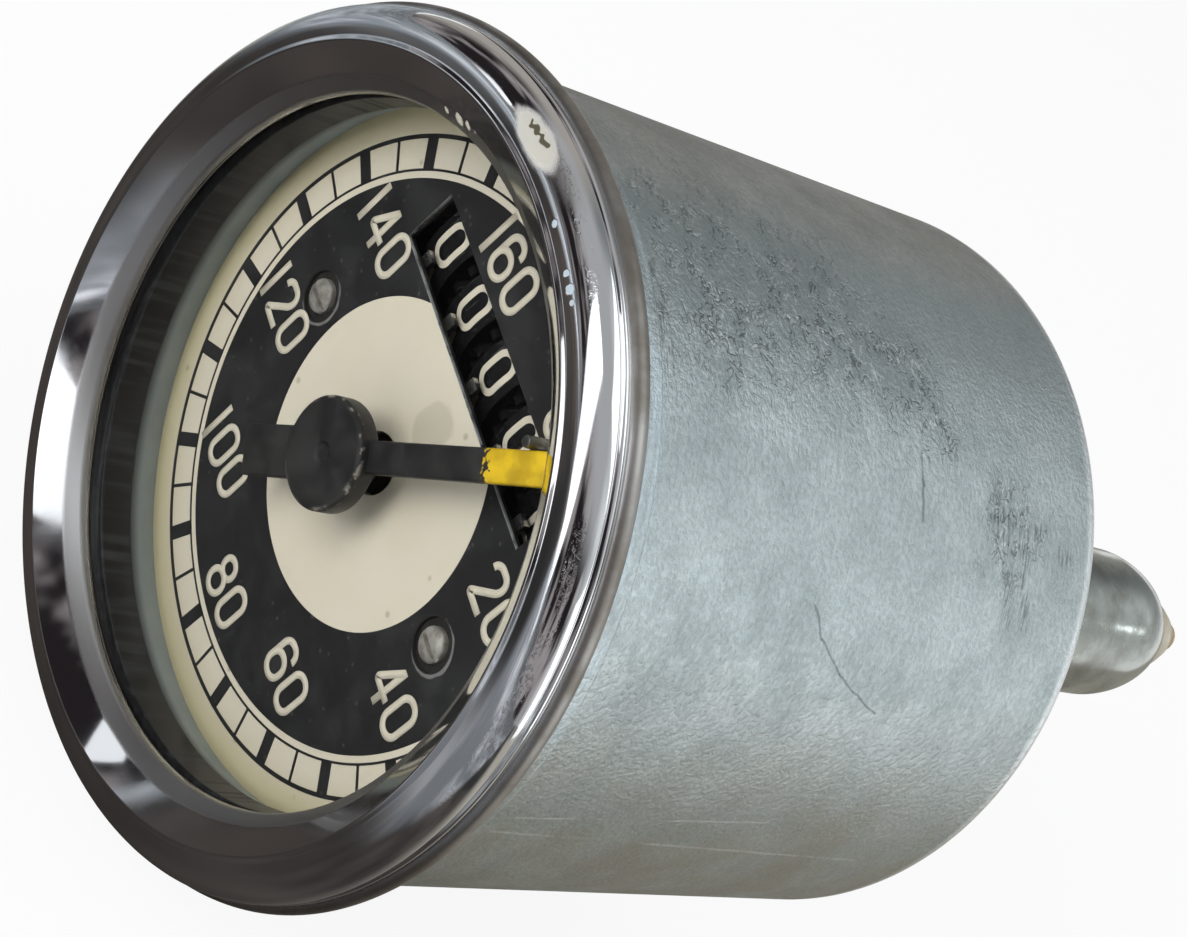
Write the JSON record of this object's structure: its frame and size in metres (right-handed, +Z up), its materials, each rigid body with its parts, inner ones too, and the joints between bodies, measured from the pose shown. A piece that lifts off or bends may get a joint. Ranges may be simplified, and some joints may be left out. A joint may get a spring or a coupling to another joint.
{
  "type": "vehicle speedometer",
  "caption": "Round chrome-bezelled dial instrument that shows road speed with a drag-cup needle and counts distance on geared number wheels, driven by a cable at the back.",
  "frame": {"origin": "on the dial axis, in the plane of the bezel's rear face that seats on the panel", "axes": "+Y along the dial axis to the back of the instrument, +Z up on the dial, +X to the dial's right seen from the front"},
  "size_m": [0.086, 0.1105, 0.086],
  "materials": {
    "zinc_case": "dull zinc plate, scuffed",
    "zinc_fitting": "dull zinc plate",
    "chrome": "polished chrome plate, light pitting",
    "clear_glass": "clear flat glass",
    "black_rubber": "matte",
    "black_paint": "satin black",
    "frosted_plastic": "translucent, frosted",
    "dial_enamel": "cream enamel, printed in black",
    "needle_black": "satin black, yellow tip",
    "wheel_black": "satin black, white digits",
    "steel": "turned",
    "brass": "dull",
    "aluminium": "spun",
    "magnet_iron": "ground",
    "cream_insulator": "aged"
  },
  "bodies": {
    "housing": {"case": "zinc_case", "bezel": "chrome", "lens_glass": "clear_glass", "lens_gasket": "black_rubber", "shade_ring": "black_paint", "light_ring": "frosted_plastic", "dial": "dial_enamel", "dial_screws": "steel", "stop_pin": "steel", "arbor_bush": "brass", "hairspring": "brass", "hairspring_stud": "brass", "field_cup": "steel", "upper_plate": "brass", "lower_plate": "brass", "dial_posts": "brass", "plate_posts": "steel", "plate_screws": "steel", "base_posts": "steel", "case_screws": "steel", "spindle_bush": "brass", "neck_bush": "brass", "drive_neck": "zinc_fitting", "neck_nut": "zinc_fitting", "cross_brackets": "steel", "number_shaft": "steel", "pinion_shaft": "steel", "counter_brackets": "steel", "detent_comb": "steel", "lamp_shell": "zinc_fitting", "lamp_insulator": "cream_insulator", "lamp_contact": "brass", "bulb_cap": "steel", "bulb_glass": "clear_glass", "mounting_studs": "zinc_fitting", "stud_nuts": "zinc_fitting"},
    "needle_movement": {"needle": "needle_black", "arbor": "steel", "hairspring_collet": "brass", "drag_cup": "aluminium"},
    "spindle": {"drive_spindle": "steel", "magnet": "magnet_iron"},
    "cross_shaft": {"cross_shaft": "steel", "cross_wheel": "brass"},
    "layshaft": {"layshaft": "steel", "lay_wheel": "brass"},
    "units_wheel": {"number_wheel_1": "wheel_black", "units_gear": "brass"},
    "tens_wheel": {"number_wheel_2": "wheel_black"},
    "hundreds_wheel": {"number_wheel_3": "wheel_black"},
    "thousands_wheel": {"number_wheel_4": "wheel_black"},
    "ten_thousands_wheel": {"number_wheel_5": "wheel_black"},
    "tens_pinion": {"carry_pinion_1": "brass"},
    "hundreds_pinion": {"carry_pinion_2": "brass"},
    "thousands_pinion": {"carry_pinion_3": "brass"},
    "ten_thousands_pinion": {"carry_pinion_4": "brass"}
  },
  "joints": [
    {"name": "needle_swing", "type": "hinge", "parent": "housing", "child": "needle_movement", "pos_m": [0, 0, 0], "axis": [0, 1, 0], "range_deg": [0, 345], "stiffness_Nm_per_rad": 0.00002, "springref_deg": -28.65, "deforming": ["hairspring"]},
    {"name": "spindle_spin", "type": "hinge", "parent": "housing", "child": "spindle", "pos_m": [0, 0.05, 0], "axis": [0, 1, 0], "continuous": true},
    {"name": "cross_shaft_spin", "type": "hinge", "parent": "housing", "child": "cross_shaft", "pos_m": [0, 0.0653, -0.0057], "axis": [1, 0, 0], "continuous": true},
    {"name": "layshaft_spin", "type": "hinge", "parent": "housing", "child": "layshaft", "pos_m": [0.022, 0.04, 0.009], "axis": [0, 1, 0], "continuous": true},
    {"name": "units_spin", "type": "hinge", "parent": "housing", "child": "units_wheel", "pos_m": [0.0152, 0.0191, 0.0162], "axis": [1, 0, 0], "continuous": true},
    {"name": "tens_spin", "type": "hinge", "parent": "housing", "child": "tens_wheel", "pos_m": [0.0076, 0.0191, 0.0162], "axis": [1, 0, 0], "continuous": true},
    {"name": "hundreds_spin", "type": "hinge", "parent": "housing", "child": "hundreds_wheel", "pos_m": [0, 0.0191, 0.0162], "axis": [1, 0, 0], "continuous": true},
    {"name": "thousands_spin", "type": "hinge", "parent": "housing", "child": "thousands_wheel", "pos_m": [-0.0076, 0.0191, 0.0162], "axis": [1, 0, 0], "continuous": true},
    {"name": "ten_thousands_spin", "type": "hinge", "parent": "housing", "child": "ten_thousands_wheel", "pos_m": [-0.0152, 0.0191, 0.0162], "axis": [1, 0, 0], "continuous": true},
    {"name": "tens_pinion_spin", "type": "hinge", "parent": "housing", "child": "tens_pinion", "pos_m": [0.0114, 0.02396, 0.00578], "axis": [1, 0, 0], "continuous": true},
    {"name": "hundreds_pinion_spin", "type": "hinge", "parent": "housing", "child": "hundreds_pinion", "pos_m": [0.0038, 0.02396, 0.00578], "axis": [1, 0, 0], "continuous": true},
    {"name": "thousands_pinion_spin", "type": "hinge", "parent": "housing", "child": "thousands_pinion", "pos_m": [-0.0038, 0.02396, 0.00578], "axis": [1, 0, 0], "continuous": true},
    {"name": "ten_thousands_pinion_spin", "type": "hinge", "parent": "housing", "child": "ten_thousands_pinion", "pos_m": [-0.0114, 0.02396, 0.00578], "axis": [1, 0, 0], "continuous": true}
  ],
  "couplings": [
    {"joint": "cross_shaft_spin", "follows": "spindle_spin", "ratio": 0.071429},
    {"joint": "layshaft_spin", "follows": "spindle_spin", "ratio": 0.0014286},
    {"joint": "units_spin", "follows": "spindle_spin", "ratio": -0.000071429},
    {"joint": "tens_spin", "follows": "spindle_spin", "ratio": -0.0000071429},
    {"joint": "hundreds_spin", "follows": "spindle_spin", "ratio": -0.00000071429},
    {"joint": "thousands_spin", "follows": "spindle_spin", "ratio": -0.000000071429},
    {"joint": "ten_thousands_spin", "follows": "spindle_spin", "ratio": -0.0000000071429},
    {"joint": "tens_pinion_spin", "follows": "spindle_spin", "ratio": 0.000017857},
    {"joint": "hundreds_pinion_spin", "follows": "spindle_spin", "ratio": 0.0000017857},
    {"joint": "thousands_pinion_spin", "follows": "spindle_spin", "ratio": 0.00000017857},
    {"joint": "ten_thousands_pinion_spin", "follows": "spindle_spin", "ratio": 0.000000017857}
  ]
}
